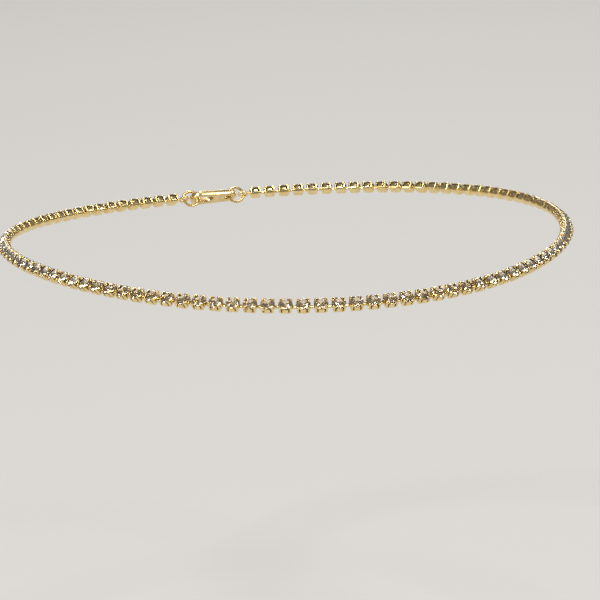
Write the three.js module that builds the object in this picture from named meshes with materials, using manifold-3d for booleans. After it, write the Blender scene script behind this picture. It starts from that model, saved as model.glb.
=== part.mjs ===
// A choker necklace: one row of round stones, each in a square cup with four claws,
// joined by short links and closed at the nape by a plain clasp between two jump rings.
// Millimetres. Z is up, the front of the necklace faces -Y, and the origin is the middle
// of the neck that the loop goes round.
import * as THREE from "three";
import { ConvexGeometry } from "three/addons/geometries/ConvexGeometry.js";
import { mergeVertices } from "three/addons/utils/BufferGeometryUtils.js";
import Module from "manifold-3d";

// The loop that the row of stones follows
const LOOP_RADIUS = 55.8;
const LOOP_OVAL = 1.1; // the front and the nape stand out by this, and the sides stand in
const LOOP_POINT = 0.6; // the front stands out further by this, and the nape is flatter
const LOOP_SAG = 1.2; // the front and the nape lie this low, and the sides this high
const LEAN_DEG = 53; // the stones face up by this, as the foot of a neck slopes

// The stones
const STONE_DIAMETER = 2.5;
const TABLE_DIAMETER = 1.3;
const CROWN_HEIGHT = 0.5;
const FACETS = 8;

// The cups
const PITCH = 3.1; // from one stone to the next along the loop
const CUP_RIM = 2.32; // outside, at the rim
const CUP_BACK = 1.76; // outside, at the back
const CUP_DEPTH = 1.5;
const CLAW_HEIGHT = 0.5; // above the rim
const CLAW_TIPS = 1.84; // across the outside of two tips on one side
const CLAW_WIDTH = 0.6; // at the rim, along each side from the corner

// The short links between the cups
const LINK_RADIUS = 0.28;
const LINK_SIDES = 5;
const LINK_DEPTH = 0.75; // from the cup's rim back to the link's middle
const LINK_SINK = 0.15; // its end inside a cup's wall

// The loops, rings and clasp at the nape
const END_LOOP_RADIUS = 1.0; // to the middle of the wire
const END_LOOP_WIRE = 0.5;
const RING_RADIUS = 1.7; // to the middle of the wire
const RING_WIRE = 0.6;
const WIRE_SIDES = 6;
const RING_STEPS = 14;
const CLASP_HOLD = 6.6; // between the two places where its rings sit
const CLASP_EYE = 1.6; // across the round eye, and from a ring's wire to the mouth's end
const CLASP_MOUTH = 2.4; // across the long mouth
const CLASP_MOUTH_LENGTH = 4;
const CLASP_WALL = 1.0; // around the eye and the mouth
const CLASP_THICKNESS = 1.2;
const CLASP_STEPS = 5; // along each half round end
const CLEARANCE = 0.3; // between pieces that touch

// Solids
const wasm = await Module();
wasm.setup();

function solid(geometry) {
  const bare = geometry.clone();
  bare.deleteAttribute("normal");
  bare.deleteAttribute("uv");
  const merged = mergeVertices(bare, 1e-4);
  const mesh = new wasm.Mesh({
    numProp: 3,
    vertProperties: new Float32Array(merged.attributes.position.array),
    triVerts: new Uint32Array(merged.index.array),
  });
  return new wasm.Manifold(mesh);
}

function part(name, manifold) {
  const mesh = manifold.getMesh();
  const geometry = new THREE.BufferGeometry();
  geometry.setAttribute("position", new THREE.BufferAttribute(mesh.vertProperties, 3));
  geometry.setIndex(new THREE.BufferAttribute(mesh.triVerts, 1));
  geometry.computeVertexNormals();
  const gold = new THREE.MeshStandardMaterial({ color: 0xc9a458, roughness: 0.28, metalness: 1 });
  const made = new THREE.Mesh(geometry, gold);
  made.name = name;
  return made;
}

// A solid around Z with flat sides, from the widths across its flats at a few heights
function tower(levels, sides) {
  const corners = [];
  for (const [width, height] of levels) {
    const radius = width / 2 / Math.cos(Math.PI / sides);
    for (let i = 0; i < sides; i += 1) {
      const turn = ((2 * i + 1) * Math.PI) / sides;
      corners.push(new THREE.Vector3(radius * Math.cos(turn), radius * Math.sin(turn), height));
    }
  }
  return new ConvexGeometry(corners);
}

// The loop, with its angle measured from the front towards +X
class NeckLoop extends THREE.Curve {
  getPoint(share, target = new THREE.Vector3()) {
    const angle = 2 * Math.PI * (share - 0.5);
    const oval = LOOP_OVAL * Math.cos(2 * angle);
    const point = LOOP_POINT * Math.cos(3 * angle);
    const radius = LOOP_RADIUS + oval + point;
    const height = -LOOP_SAG * Math.cos(2 * angle);
    return target.set(radius * Math.sin(angle), -radius * Math.cos(angle), height);
  }
}

const loop = new NeckLoop();
loop.arcLengthDivisions = 2000;
const loopLength = loop.getLength();

// A place on the loop at a distance from its front. Its X runs along the row towards +X
// of the front, its Z is a stone's axis, outwards and up, and its Y points up the neck.
function placeAt(distance) {
  const share = THREE.MathUtils.euclideanModulo(0.5 + distance / loopLength, 1);
  const along = loop.getTangentAt(share);
  const lean = THREE.MathUtils.degToRad(LEAN_DEG);
  const axis = new THREE.Vector3(along.y, -along.x, 0).normalize();
  axis.multiplyScalar(Math.cos(lean));
  axis.z = Math.sin(lean);
  axis.addScaledVector(along, -axis.dot(along)).normalize();
  const up = new THREE.Vector3().crossVectors(axis, along);
  return new THREE.Matrix4().makeBasis(along, up, axis).setPosition(loop.getPointAt(share));
}

// A cup with its stone, whose axis is Z. The cup's rim is at Z = 0, and its walls bend in
// there. A cross of two slots leaves the bent corners as the four claws. The stone rests on
// the rim, and its round sides stand out between the claws.
function stoneInCup() {
  const walls = [[CUP_BACK, -CUP_DEPTH], [CUP_RIM, 0], [CLAW_TIPS, CLAW_HEIGHT]];
  const crown = [[STONE_DIAMETER, 0], [TABLE_DIAMETER, CROWN_HEIGHT]];
  const near = CUP_RIM / 2 - CLAW_WIDTH;
  const far = CUP_RIM;
  const corners = [[far, near], [near, near], [near, far]];
  const cross = new THREE.Shape();
  for (let quarter = 0; quarter < 4; quarter += 1) {
    for (const [x, y] of corners) {
      const corner = new THREE.Vector2(x, y).rotateAround(new THREE.Vector2(), (quarter * Math.PI) / 2);
      if (quarter === 0 && x === far) cross.moveTo(corner.x, corner.y);
      else cross.lineTo(corner.x, corner.y);
    }
  }
  const slots = new THREE.ExtrudeGeometry(cross, { depth: 2 * CLAW_HEIGHT, bevelEnabled: false });
  return solid(tower(walls, 4)).subtract(solid(slots)).add(solid(tower(crown, FACETS)));
}

// Half of a cup's width at the depth of the links
const cupSide = (CUP_RIM - ((CUP_RIM - CUP_BACK) * LINK_DEPTH) / CUP_DEPTH) / 2;

// A link along X that starts inside the side of the cup at the place
function link(length) {
  const bar = new THREE.CylinderGeometry(LINK_RADIUS, LINK_RADIUS, length + LINK_SINK, LINK_SIDES);
  bar.rotateZ(Math.PI / 2);
  bar.translate(cupSide - LINK_SINK + (length + LINK_SINK) / 2, 0, -LINK_DEPTH);
  return solid(bar);
}

// A closed ring of wire around Z
function wireRing(radius, wire) {
  return new THREE.TorusGeometry(radius, wire / 2, WIRE_SIDES, RING_STEPS);
}

// How the row fills the loop: a closure at the nape, and stones a pitch apart on the rest
const endReach = CUP_RIM / 2 + CLEARANCE + END_LOOP_RADIUS + END_LOOP_WIRE / 2;
const closure = 2 * (endReach + 2 * RING_RADIUS) + CLASP_HOLD;
const stonesPerSide = Math.round(((loopLength - closure) / PITCH + 1) / 2);
const pitch = (loopLength - closure) / (2 * stonesPerSide - 1);
const linkLength = pitch - 2 * cupSide;

// One half of the row, from the front to the loop at its end. The side is 1 towards +X.
function strand(side) {
  const stone = stoneInCup();
  const nextLink = link(linkLength + LINK_SINK);
  const lastLink = link(endReach - cupSide - END_LOOP_RADIUS);
  const solids = [];
  for (let i = 0; i < stonesPerSide; i += 1) {
    const place = placeAt(side * (i + 0.5) * pitch);
    const awayFromFront = place.clone().multiply(new THREE.Matrix4().makeRotationZ(side > 0 ? 0 : Math.PI));
    const onward = i < stonesPerSide - 1 ? nextLink : lastLink;
    solids.push(stone.transform(place.elements));
    solids.push(onward.transform(awayFromFront.elements));
  }
  // The two halves meet at the front, where one half's link ends just short of the other
  if (side < 0) solids.push(link(linkLength - CLEARANCE).transform(placeAt(-pitch / 2).elements));
  const end = placeAt(side * ((stonesPerSide - 0.5) * pitch + endReach));
  const endLoop = wireRing(END_LOOP_RADIUS, END_LOOP_WIRE).translate(0, 0, -LINK_DEPTH);
  solids.push(solid(endLoop).transform(end.elements));
  return wasm.Manifold.union(solids);
}

// A jump ring, through the end loop of one half and the clasp. It stands across both.
const ringAt = (stonesPerSide - 0.5) * pitch + endReach + RING_RADIUS;

function jumpRing(side) {
  const wire = wireRing(RING_RADIUS, RING_WIRE).rotateX(Math.PI / 2).translate(0, 0, -LINK_DEPTH);
  return solid(wire).transform(placeAt(side * ringAt).elements);
}

// An outline around two circles on the X axis
function aroundTwo(from, fromRadius, to, toRadius) {
  const slope = Math.asin((toRadius - fromRadius) / (to - from));
  const points = [];
  for (let i = 0; i <= CLASP_STEPS; i += 1) {
    const turn = (Math.PI / 2 + slope) * ((2 * i) / CLASP_STEPS - 1);
    points.push(new THREE.Vector2(to + toRadius * Math.cos(turn), toRadius * Math.sin(turn)));
  }
  for (let i = 0; i <= CLASP_STEPS; i += 1) {
    const turn = (Math.PI / 2 - slope) * ((2 * i) / CLASP_STEPS - 1);
    points.push(new THREE.Vector2(from - fromRadius * Math.cos(turn), -fromRadius * Math.sin(turn)));
  }
  return points;
}

function around(centre, radius) {
  const circle = new THREE.EllipseCurve(centre, 0, radius, radius);
  return circle.getPoints(2 * CLASP_STEPS).slice(1);
}

// The clasp, lying flat against the neck. It tapers from its mouth to its eye.
function clasp() {
  const eyeAt = -CLASP_HOLD / 2;
  const eyeRadius = CLASP_EYE / 2;
  const mouthRadius = CLASP_MOUTH / 2;
  const mouthEnd = CLASP_HOLD / 2 + eyeRadius;
  const mouthTo = mouthEnd - mouthRadius;
  const mouthFrom = mouthEnd - CLASP_MOUTH_LENGTH + mouthRadius;
  const outline = aroundTwo(eyeAt, eyeRadius + CLASP_WALL, mouthTo, mouthRadius + CLASP_WALL);
  const shape = new THREE.Shape(outline);
  shape.holes.push(new THREE.Path(around(eyeAt, eyeRadius)));
  shape.holes.push(new THREE.Path(aroundTwo(mouthFrom, mouthRadius, mouthTo, mouthRadius)));
  const plate = new THREE.ExtrudeGeometry(shape, { depth: CLASP_THICKNESS, bevelEnabled: false });
  plate.translate(0, 0, -CLASP_THICKNESS / 2 - LINK_DEPTH);
  return solid(plate).transform(placeAt(loopLength / 2).elements);
}

const necklace = new THREE.Group();
necklace.add(part("strand_left", strand(-1)));
necklace.add(part("strand_right", strand(1)));
necklace.add(part("ring_left", jumpRing(-1)));
necklace.add(part("ring_right", jumpRing(1)));
necklace.add(part("clasp", clasp()));

export default necklace;
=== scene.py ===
"""A choker necklace: one row of faceted stones in square gold cups with four claws.

Each kind of piece is modelled once, in millimetres, with its stone's axis upwards and
the cup's rim at height 0. Copies of it are then set along the loop, in metres.
"""

import math

import bpy
from mathutils import Matrix, Vector


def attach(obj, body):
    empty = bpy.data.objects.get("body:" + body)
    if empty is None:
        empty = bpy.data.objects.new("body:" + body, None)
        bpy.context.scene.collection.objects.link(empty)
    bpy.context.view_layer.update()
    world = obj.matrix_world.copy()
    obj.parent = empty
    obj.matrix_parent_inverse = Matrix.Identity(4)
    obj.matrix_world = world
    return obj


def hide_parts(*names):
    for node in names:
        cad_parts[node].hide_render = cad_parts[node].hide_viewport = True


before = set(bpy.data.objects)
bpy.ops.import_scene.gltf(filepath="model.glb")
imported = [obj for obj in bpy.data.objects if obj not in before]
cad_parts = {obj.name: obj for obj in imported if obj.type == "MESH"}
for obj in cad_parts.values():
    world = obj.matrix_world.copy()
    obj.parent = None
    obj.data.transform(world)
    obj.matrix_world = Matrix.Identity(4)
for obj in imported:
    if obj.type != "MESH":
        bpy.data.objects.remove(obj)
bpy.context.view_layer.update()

# The loop, as the part has it, in millimetres
LOOP_RADIUS = 55.8
LOOP_OVAL = 1.1
LOOP_POINT = 0.6
LOOP_SAG = 1.2
LOOP_STEPS = 4000
LEAN = math.radians(53)
STONES = 108
CLOSURE = 18.82
MILLIMETRE = 0.001

# The stones, with (radius, height) where the facets break
STONE_RADIUS = 1.28
TABLE_RADIUS = 0.68
TABLE_HEIGHT = 0.48
CROWN_BREAK = (0.98, 0.29)
GIRDLE = (-0.03, 0.03)
PAVILION_BREAK = (0.64, -0.62)
CULET = -1.14
CULET_RADIUS = 0.02
FACETS = 8

# The lacquer behind them, made near black as painted shade inside the cup
LACQUER_GAP = 0.01
LACQUER_REACH = 0.03
LACQUER_SHEET = 0.02

# The cups, with (width, height) where the walls and the claws bend
CUP_RIM = 2.32
CUP_BACK = 1.64
CUP_DEPTH = 1.5
CUP_WALL = 0.13
CUP_CORNER = 0.17
CUP_BEVEL = 0.035
BOWL_BENDS = ((1.96, -1.34), (2.2, -1.04))
CLAW_BENDS = ((2.26, 0.14), (2.02, 0.34), (1.4, 0.48))
CUP_LEVELS = ((CUP_BACK, -CUP_DEPTH),) + BOWL_BENDS + ((CUP_RIM, 0),) + CLAW_BENDS

# The tongue in the middle of each wall, the slots beside it and the gap between the claws
TONGUE_WIDTH = 1.08
TONGUE_FLAT = 0.6
TONGUE_TOP = -0.17
TONGUE_ROUNDING = 0.12
SLOT_WIDTH = 1.54
SLOT_BOTTOM = -0.94
CLAW_GAP = 1.12

# The links, end loops and jump rings
LINK_LENGTH = 1.36
LINK_SECTION = (0.6, 0.4)
LINK_DEPTH = 0.75
LINK_BEVEL = 0.07
END_LOOP_RADIUS = 1.0
END_LOOP_WIRE = 0.5
END_LOOP_SIDES = 28
END_REACH = 2.71
RING_RADIUS = 1.7
RING_WIRE = 0.6
RING_SIDES = 32
WIRE_SIDES = 10

# The clasp
CLASP_HOLD = 6.6
CLASP_EYE = 1.6
CLASP_MOUTH = 2.4
CLASP_MOUTH_LENGTH = 4
CLASP_WALL = 1.0
CLASP_THICKNESS = 1.2
CLASP_BEVEL = 0.24
CLASP_SIDES = 44

# Edges are bevelled or left sharp from these angles on, in degrees
CUP_BEVEL_ANGLE = 35
CUP_SHARP_ANGLE = 50
CLASP_BEVEL_ANGLE = 60
CLASP_SHARP_ANGLE = 35
FLAT_ANGLE = 0.5

# Tests on a mesh: at the same place, and a face that looks up
NEAR = 0.01
UPWARDS = 0.9

# The gold's surface
DRIFT_SCALE = 900.0
DRIFT_FROM = 0.35
DRIFT_CONTRAST = 3.0
GLOSS_DRIFT = 0.1
GRAIN_SCALE = 5200.0
GRAIN_STRENGTH = 0.12
GRAIN_DEPTH = 0.00002

# The studio, in metres: each softbox has its azimuth, elevation, size and power
FLOOR_SIZE = 8
FLOOR_DROP = 0.09
WORLD_COLOUR = (1.0, 0.98, 0.95, 1)
WORLD_STRENGTH = 0.2
WARM = (1, 0.97, 0.92)
LAMP_DISTANCE = 2.2
SOFTBOXES = {
    "key": (-54, 48, 0.4, 20),
    "fill": (34, 45, 0.4, 12),
    "left": (-75, 20, 0.4, 8),
    "right": (85, 35, 0.4, 8),
    "top": (10, 80, 0.5, 8),
    "back": (165, 38, 0.9, 14),
}

# The camera, from the photograph, with its angles in degrees
CAMERA_DISTANCE = 0.496
CAMERA_AZIMUTH = -16.28
CAMERA_ELEVATION = 11.24
LOOK_AZIMUTH = -16.52
LOOK_DOWN = 12.73
CAMERA_ROLL = math.radians(-2.08)
CAMERA_LENS = 152.6
CAMERA_CLIP = (0.01, 50)

X, Y, Z = Vector((1, 0, 0)), Vector((0, 1, 0)), Vector((0, 0, 1))


# Places along the loop


def loop_point(angle):
    """A point of the loop, with the angle measured from the front towards +X."""
    radius = LOOP_RADIUS + LOOP_OVAL * math.cos(2 * angle) + LOOP_POINT * math.cos(3 * angle)
    height = -LOOP_SAG * math.cos(2 * angle)
    return Vector((radius * math.sin(angle), -radius * math.cos(angle), height))


loop_points = [loop_point(2 * math.pi * (i / LOOP_STEPS - 0.5)) for i in range(LOOP_STEPS + 1)]
loop_distances = [0.0]
for before, after in zip(loop_points, loop_points[1:]):
    loop_distances.append(loop_distances[-1] + (after - before).length)
loop_length = loop_distances[-1]
pitch = (loop_length - CLOSURE) / (STONES - 1)


def place_at(distance):
    """The place at a distance from the front: X along the row, Z the stone's axis."""
    wanted = (distance + loop_length / 2) % loop_length
    low, high = 0, LOOP_STEPS
    while high - low > 1:
        middle = (low + high) // 2
        if loop_distances[middle] > wanted:
            high = middle
        else:
            low = middle
    step = loop_points[high] - loop_points[low]
    share = (wanted - loop_distances[low]) / step.length
    along = step.normalized()
    axis = Vector((along.y, -along.x, 0)).normalized() * math.cos(LEAN)
    axis.z = math.sin(LEAN)
    axis = (axis - along * axis.dot(along)).normalized()
    up = axis.cross(along)
    turn = Matrix((along, up, axis)).transposed().to_4x4()
    return Matrix.Translation(loop_points[low] + step * share) @ turn


# Modelling by hand


def only(*objs):
    if bpy.context.object and bpy.context.object.mode != "OBJECT":
        bpy.ops.object.mode_set(mode="OBJECT")
    bpy.ops.object.select_all(action="DESELECT")
    for obj in objs:
        obj.select_set(True)
    bpy.context.view_layer.objects.active = objs[0]


def add(kind, name, **settings):
    """A new primitive at its size and place, which are then applied to its mesh."""
    bpy.ops.object.select_all(action="DESELECT")
    getattr(bpy.ops.mesh, f"primitive_{kind}_add")(**settings)
    obj = bpy.context.object
    obj.name = name
    bpy.ops.object.transform_apply(location=True, rotation=True, scale=True)
    return obj


def join(name, *objs):
    only(*objs)
    bpy.ops.object.join()
    bpy.context.object.name = name
    return bpy.context.object


def edit(obj):
    only(obj)
    bpy.ops.object.mode_set(mode="EDIT")


def done():
    bpy.ops.object.mode_set(mode="OBJECT")


def select(obj, faces=None, edges=None, points=None):
    """Selects, in edit mode, the faces, edges or points that pass the test."""
    mode = (points is not None, edges is not None, faces is not None)
    bpy.context.tool_settings.mesh_select_mode = mode
    bpy.ops.mesh.select_all(action="DESELECT")
    done()
    mesh = obj.data
    if faces:
        for face in mesh.polygons:
            face.select = faces(face.center, face.normal)
    if edges:
        for edge in mesh.edges:
            first, second = (mesh.vertices[i].co for i in edge.vertices)
            edge.select = edges(first, second)
    if points:
        for vertex in mesh.vertices:
            vertex.select = points(vertex.co)
    bpy.ops.object.mode_set(mode="EDIT")


def delete_faces(obj, test):
    select(obj, faces=test)
    bpy.ops.mesh.delete(type="FACE")


def looks_up(_, normal):
    return normal.z > UPWARDS


def split_at(where, across):
    """A cut through the whole mesh, across an axis at a height along it."""
    bpy.ops.mesh.select_all(action="SELECT")
    bpy.ops.mesh.bisect(plane_co=across * where, plane_no=across, threshold=1e-5)


def resize_across(share, height):
    """Makes what is selected narrower or wider around the stone's axis."""
    bpy.ops.transform.resize(value=(share, share, 1), center_override=(0, 0, height))


def finish_with(obj, kind, **settings):
    """Adds a modifier and applies it."""
    only(obj)
    modifier = obj.modifiers.new(kind, kind)
    for key, value in settings.items():
        setattr(modifier, key, value)
    bpy.ops.object.modifier_apply(modifier=modifier.name)


def wrap(name, *objs):
    """The pieces wrapped in their common hull."""
    hull = join(name, *objs)
    edit(hull)
    bpy.ops.mesh.select_all(action="SELECT")
    bpy.ops.mesh.convex_hull()
    done()
    return hull


def smooth(obj, sharp_angle):
    only(obj)
    bpy.ops.object.shade_smooth_by_angle(angle=math.radians(sharp_angle))


# Shader maths


class Socket:
    """A node's output in a material, or a number, that Python's operators work on."""

    def __init__(self, tree, value):
        self.tree = tree
        self.value = value

    def maths(self, operation, *others):
        values = [self.value] + [o.value if isinstance(o, Socket) else o for o in others]
        return self.node("ShaderNodeMath", {"operation": operation}, *values)

    def node(self, kind, settings, *values, out=0, **named):
        """Any node: its type, its settings, and the values or links of its sockets."""
        made = self.tree.nodes.new(kind)
        for key, value in settings.items():
            setattr(made, key, value)
        sockets = list(enumerate(values)) + [(k.replace("_", " "), v) for k, v in named.items()]
        for key, value in sockets:
            value = value.value if isinstance(value, Socket) else value
            if isinstance(value, bpy.types.NodeSocket):
                self.tree.links.new(value, made.inputs[key])
            elif value is not None:
                made.inputs[key].default_value = value
        return Socket(self.tree, made.outputs[out])

    def __add__(self, other):
        return self.maths("ADD", other)

    def __sub__(self, other):
        return self.maths("SUBTRACT", other)

    def __mul__(self, other):
        return self.maths("MULTIPLY", other)

    def __rsub__(self, other):
        return Socket(self.tree, other).maths("SUBTRACT", self)

    __radd__ = __add__
    __rmul__ = __mul__

    def clamped(self):
        return self.node("ShaderNodeClamp", {}, self)

    def mixed(self, first, second):
        """One colour where this is 0 and another where it is 1."""
        before_colours = [None] * 5
        return self.node("ShaderNodeMix", {"data_type": "RGBA"}, self, *before_colours,
                         first, second, out=2)


def material(name, **fixed):
    """A Principled material with the sockets that stay the same all over it."""
    made = bpy.data.materials.new(name)
    made.use_nodes = True
    shader = made.node_tree.nodes["Principled BSDF"]
    for key, value in fixed.items():
        shader.inputs[key.replace("_", " ")].default_value = value
    return made


def gold_metal(name, bright, deep, polish):
    """Plated metal: colour, gloss and tiny dents drift over the surface."""
    made = material(name, Metallic=1.0)
    tree = made.node_tree
    where = Socket(tree, tree.nodes.new("ShaderNodeTexCoord").outputs["Object"])
    drift = where.node("ShaderNodeTexNoise", {}, where, Scale=DRIFT_SCALE, Detail=3.0)
    grain = where.node("ShaderNodeTexNoise", {}, where, Scale=GRAIN_SCALE, Detail=2.0)
    mask = ((drift - DRIFT_FROM) * DRIFT_CONTRAST).clamped()
    driven = {
        "Base Color": mask.mixed(deep, bright),
        "Roughness": polish + GLOSS_DRIFT * (1 - mask),
        "Normal": where.node("ShaderNodeBump", {}, Strength=GRAIN_STRENGTH,
                             Distance=GRAIN_DEPTH, Height=grain),
    }
    for key, socket in driven.items():
        tree.links.new(socket.value, tree.nodes["Principled BSDF"].inputs[key])
    return made


GOLD = gold_metal("cup_gold", (0.96, 0.79, 0.42, 1), (0.84, 0.62, 0.26, 1), 0.15)
RING_GOLD = gold_metal("ring_gold", (0.90, 0.73, 0.38, 1), (0.74, 0.54, 0.22, 1), 0.19)
CRYSTAL = material("stone_crystal", Base_Color=(1, 0.99, 0.96, 1), Roughness=0.0, IOR=1.6,
                   Transmission_Weight=1.0)
FOIL = material("stone_foil", Base_Color=(0.97, 0.87, 0.72, 1), Roughness=0.04, Metallic=1.0)
# the real lacquer's tone, darkened to near black as painted shade inside the cup
LACQUER_AND_PAINTED_SHADE = material("back_lacquer_and_painted_shade", Base_Color=(0.05, 0.032, 0.012, 1), Roughness=0.35,
                   Metallic=0.4)
FLOOR = material("floor_paint", Base_Color=(0.63, 0.63, 0.63, 1), Roughness=0.8)


# The cup


def half_width(height):
    """Half of the cup's width at a height."""
    for (low_width, low), (high_width, high) in zip(CUP_LEVELS, CUP_LEVELS[1:]):
        if height <= high:
            break
    share = (height - low) / (high - low)
    return (low_width + (high_width - low_width) * share) / 2


def along_wall(point):
    """How far a point of the walls is from its wall's middle, as if at the rim."""
    return min(abs(point.x), abs(point.y)) * CUP_RIM / 2 / half_width(point.z)


def on_corner(point):
    return along_wall(point) > CUP_RIM / 2 - NEAR


def cup_metal():
    tongue_edge, slot_edge, claw_edge = TONGUE_WIDTH / 2, SLOT_WIDTH / 2, CLAW_GAP / 2
    cup = add("cube", "cup", size=1, location=(0, 0, -CUP_DEPTH / 2),
              scale=(CUP_RIM, CUP_RIM, CUP_DEPTH))
    edit(cup)
    for across in (X, Y):
        for place in (TONGUE_FLAT * tongue_edge, tongue_edge, claw_edge, slot_edge):
            split_at(place, across)
            split_at(-place, across)
    # the walls stand nearly straight and round in towards the back
    for _, height in BOWL_BENDS:
        split_at(height, Z)
    for width, height in BOWL_BENDS + ((CUP_BACK, -CUP_DEPTH),):
        select(cup, points=lambda point: abs(point.z - height) < NEAR)
        resize_across(width / CUP_RIM, height)
    # the claws rise from the rim and bend in over the stone
    select(cup, faces=looks_up)
    width, height = CUP_RIM, 0
    for next_width, next_height in CLAW_BENDS:
        rise = (0, 0, next_height - height)
        bpy.ops.mesh.extrude_region_move(TRANSFORM_OT_translate={"value": rise})
        resize_across(next_width / width, next_height)
        width, height = next_width, next_height
    split_at(SLOT_BOTTOM, Z)
    split_at(TONGUE_TOP, Z)
    # the four upright corners are rounded
    select(cup, edges=lambda first, second: on_corner(first) and on_corner(second)
           and abs(first.z - second.z) > NEAR)
    bpy.ops.mesh.bevel(offset=CUP_CORNER, segments=2)
    # the mouth, the walls above the tongues, and the slots beside the tongues
    delete_faces(cup, looks_up)
    delete_faces(cup, lambda centre, _: centre.z > TONGUE_TOP and along_wall(centre) < claw_edge)
    delete_faces(cup, lambda centre, _: SLOT_BOTTOM < centre.z < 0
                 and tongue_edge < along_wall(centre) < slot_edge)
    # each tongue's top is rounded off at both ends
    select(cup, points=lambda point: abs(point.z - TONGUE_TOP) < NEAR
           and abs(along_wall(point) - tongue_edge) < NEAR)
    bpy.ops.transform.translate(value=(0, 0, -TONGUE_ROUNDING))
    done()
    finish_with(cup, "SOLIDIFY", thickness=CUP_WALL, offset=-1, use_even_offset=True)
    finish_with(cup, "BEVEL", width=CUP_BEVEL, segments=1, limit_method="ANGLE",
                angle_limit=math.radians(CUP_BEVEL_ANGLE))
    cup.data.materials.append(GOLD)
    smooth(cup, CUP_SHARP_ANGLE)
    return cup


# The stone: a round brilliant, cut as the hull of its corners


def ring_of_points(name, count, radius, height, turn=0.0):
    return add("circle", name, vertices=count, radius=radius, location=(0, 0, height),
               rotation=(0, 0, turn))


def stone_cut():
    half_step = math.pi / FACETS
    stone = wrap(
        "stone",
        ring_of_points("table", FACETS, TABLE_RADIUS, TABLE_HEIGHT, half_step),
        ring_of_points("crown", FACETS, *CROWN_BREAK),
        ring_of_points("girdle_top", 2 * FACETS, STONE_RADIUS, GIRDLE[1]),
        ring_of_points("girdle_bottom", 2 * FACETS, STONE_RADIUS, GIRDLE[0]),
        ring_of_points("pavilion", FACETS, *PAVILION_BREAK, half_step),
        ring_of_points("culet", 3, CULET_RADIUS, CULET))
    stone.data.materials.append(CRYSTAL)
    stone.data.materials.append(FOIL)
    for face in stone.data.polygons:
        face.material_index = 1 if face.center.z < GIRDLE[0] - NEAR else 0
    return stone


def stone_lacquer_and_painted_shade():
    """The lacquer on the back of the stone's foil, which shows through the slots, made near
    black as painted shade of the cup's inside.
    """
    break_radius, break_height = PAVILION_BREAK
    lacquer_and_painted_shade = wrap(
        "lacquer_and_painted_shade",
        ring_of_points("lacquer_edge", 2 * FACETS, STONE_RADIUS - LACQUER_GAP,
                       GIRDLE[0] - 2 * LACQUER_GAP),
        ring_of_points("lacquer_break", FACETS, break_radius + LACQUER_REACH,
                       break_height - LACQUER_GAP, math.pi / FACETS),
        ring_of_points("lacquer_tip", 3, LACQUER_REACH, CULET - LACQUER_REACH))
    edit(lacquer_and_painted_shade)
    delete_faces(lacquer_and_painted_shade, looks_up)
    done()
    finish_with(lacquer_and_painted_shade, "SOLIDIFY", thickness=LACQUER_SHEET, offset=1)
    lacquer_and_painted_shade.data.materials.append(LACQUER_AND_PAINTED_SHADE)
    return lacquer_and_painted_shade


# The links, end loops and jump rings


def link_bar(middle, length):
    """A short flat bar along the row."""
    link = add("cube", "link", size=1, location=(middle, 0, -LINK_DEPTH),
               scale=(length, *LINK_SECTION))
    finish_with(link, "BEVEL", width=LINK_BEVEL, segments=2)
    link.data.materials.append(GOLD)
    smooth(link, CUP_SHARP_ANGLE)
    return link


def wire_ring(name, radius, wire, sides, metal, tilt=0.0):
    """A closed ring of round wire, as deep in the row as the links are."""
    ring = add("torus", name, major_radius=radius, minor_radius=wire / 2, major_segments=sides,
               minor_segments=WIRE_SIDES, location=(0, 0, -LINK_DEPTH), rotation=(tilt, 0, 0))
    ring.data.materials.append(metal)
    only(ring)
    bpy.ops.object.shade_smooth()
    return ring


# The clasp: a flat plate that tapers from its long mouth to its round eye


def clasp_round(name, radius, place, height=2 * CLASP_THICKNESS):
    return add("cylinder", name, vertices=CLASP_SIDES, radius=radius, depth=height,
               location=(place, 0, -LINK_DEPTH))


def clasp_form(name, *rounds):
    """The hull of two round ends, with its flat faces whole."""
    form = wrap(name, *rounds)
    edit(form)
    bpy.ops.mesh.select_all(action="SELECT")
    bpy.ops.mesh.dissolve_limited(angle_limit=math.radians(FLAT_ANGLE))
    done()
    return form


def clasp_plate():
    eye_at, eye_radius = -CLASP_HOLD / 2, CLASP_EYE / 2
    mouth_end, mouth_radius = CLASP_HOLD / 2 + eye_radius, CLASP_MOUTH / 2
    mouth_to = mouth_end - mouth_radius
    mouth_from = mouth_end - CLASP_MOUTH_LENGTH + mouth_radius
    plate = clasp_form(
        "plate",
        clasp_round("eye_end", eye_radius + CLASP_WALL, eye_at, CLASP_THICKNESS),
        clasp_round("mouth_end", mouth_radius + CLASP_WALL, mouth_to, CLASP_THICKNESS))
    eye = clasp_round("eye", eye_radius, eye_at)
    mouth = clasp_form(
        "mouth",
        clasp_round("mouth_from", mouth_radius, mouth_from),
        clasp_round("mouth_to", mouth_radius, mouth_to))
    for hole in (eye, mouth):
        finish_with(plate, "BOOLEAN", object=hole, operation="DIFFERENCE", solver="EXACT")
        bpy.data.objects.remove(hole)
    finish_with(plate, "BEVEL", width=CLASP_BEVEL, segments=3, limit_method="ANGLE",
                angle_limit=math.radians(CLASP_BEVEL_ANGLE))
    plate.data.materials.clear()
    plate.data.materials.append(RING_GOLD)
    smooth(plate, CLASP_SHARP_ANGLE)
    return plate


# Setting the pieces along the loop


def set_along(pattern, name, distances):
    """Copies of a piece at these distances from the front, joined as one piece."""
    copies = []
    for distance in distances:
        copy = pattern.copy()
        copy.data = pattern.data.copy()
        copy.data.transform(Matrix.Scale(MILLIMETRE, 4) @ place_at(distance))
        bpy.context.collection.objects.link(copy)
        copies.append(copy)
    return join(name, *copies)


def hand_in(obj, node):
    """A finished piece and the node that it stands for."""
    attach(obj, "root")
    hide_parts(node)


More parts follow.
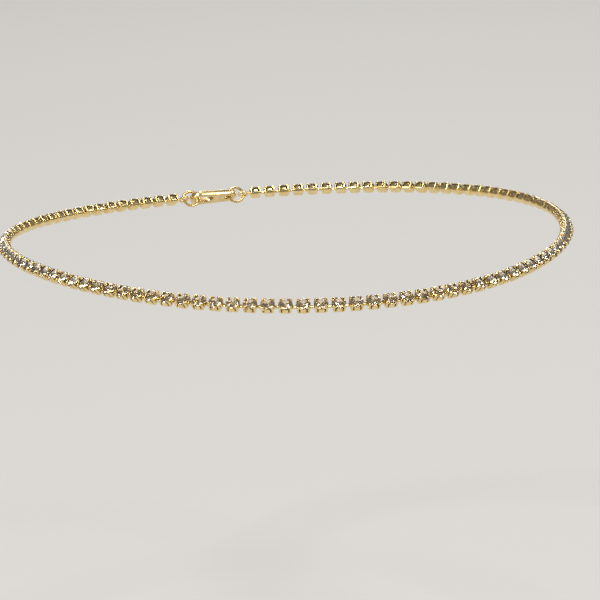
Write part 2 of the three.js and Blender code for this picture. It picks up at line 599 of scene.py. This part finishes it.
cup = cup_metal()
stone = join("stone", stone_cut(), stone_lacquer_and_painted_shade())
link = link_bar(pitch / 2, LINK_LENGTH)
end_loop = wire_ring("end_loop", END_LOOP_RADIUS, END_LOOP_WIRE, END_LOOP_SIDES, GOLD)
ring = wire_ring("ring", RING_RADIUS, RING_WIRE, RING_SIDES, RING_GOLD, math.pi / 2)
plate = clasp_plate()

half = STONES // 2
row_end = (half - 0.5) * pitch
bar_from = half_width(-LINK_DEPTH) - CUP_WALL
bar_to = END_REACH - END_LOOP_RADIUS
for side, word in ((-1, "left"), (1, "right")):
    strand = f"strand_{word}"
    places = [side * (i + 0.5) * pitch for i in range(half)]
    cups = set_along(cup, "cups", places)
    # a link follows each cup towards +X, but not the last one of the right half
    links = set_along(link, "links", places if side < 0 else places[:-1])
    loops = set_along(end_loop, "loops", [side * (row_end + END_REACH)])
    bar = link_bar(side * (bar_from + bar_to) / 2, bar_to - bar_from)
    end_bar = set_along(bar, "end_bar", [side * row_end])
    bpy.data.objects.remove(bar)
    hand_in(join(f"{strand}_cups", cups, links, loops, end_bar), strand)
    hand_in(set_along(stone, f"{strand}_stones", places), strand)
    ring_place = side * (row_end + END_REACH + RING_RADIUS)
    hand_in(set_along(ring, f"jump_ring_{word}", [ring_place]), f"ring_{word}")
hand_in(set_along(plate, "clasp_plate", [loop_length / 2]), "clasp")

for pattern in (cup, stone, link, end_loop, ring, plate):
    bpy.data.objects.remove(pattern)


# Floor, light and camera


def direction(azimuth, elevation):
    """From the origin towards an azimuth and elevation, with the front at azimuth 0."""
    a, e = math.radians(azimuth), math.radians(elevation)
    return Vector((math.sin(a) * math.cos(e), -math.cos(a) * math.cos(e), math.sin(e)))


floor = add("plane", "floor", size=FLOOR_SIZE, location=(0, 0, -FLOOR_DROP))
floor.data.materials.append(FLOOR)

world = bpy.data.worlds.new("studio")
bpy.context.scene.world = world
world.use_nodes = True
world.node_tree.nodes["Background"].inputs["Color"].default_value = WORLD_COLOUR
world.node_tree.nodes["Background"].inputs["Strength"].default_value = WORLD_STRENGTH

for name, (azimuth, elevation, size, power) in SOFTBOXES.items():
    bpy.ops.object.light_add(type="AREA")
    lamp = bpy.context.object
    lamp.name = name
    lamp.data.size = size
    lamp.data.energy = power
    lamp.data.color = WARM
    towards_lamp = direction(azimuth, elevation)
    lamp.location = towards_lamp * LAMP_DISTANCE
    lamp.rotation_euler = towards_lamp.to_track_quat("Z", "Y").to_euler()
bpy.context.scene.view_settings.view_transform = "Standard"

camera_data = bpy.data.cameras.new("camera")
camera_data.lens = CAMERA_LENS
camera_data.clip_start, camera_data.clip_end = CAMERA_CLIP
camera = bpy.data.objects.new("camera", camera_data)
bpy.context.collection.objects.link(camera)
look = -direction(LOOK_AZIMUTH, LOOK_DOWN)
right = look.cross(Z).normalized()
above = right.cross(look)
rolled_right = right * math.cos(CAMERA_ROLL) + above * math.sin(CAMERA_ROLL)
rolled_above = above * math.cos(CAMERA_ROLL) - right * math.sin(CAMERA_ROLL)
stance = Matrix((rolled_right, rolled_above, -look)).transposed().to_4x4()
camera_place = direction(CAMERA_AZIMUTH, CAMERA_ELEVATION) * CAMERA_DISTANCE
camera.matrix_world = Matrix.Translation(camera_place) @ stance
bpy.context.scene.camera = camera
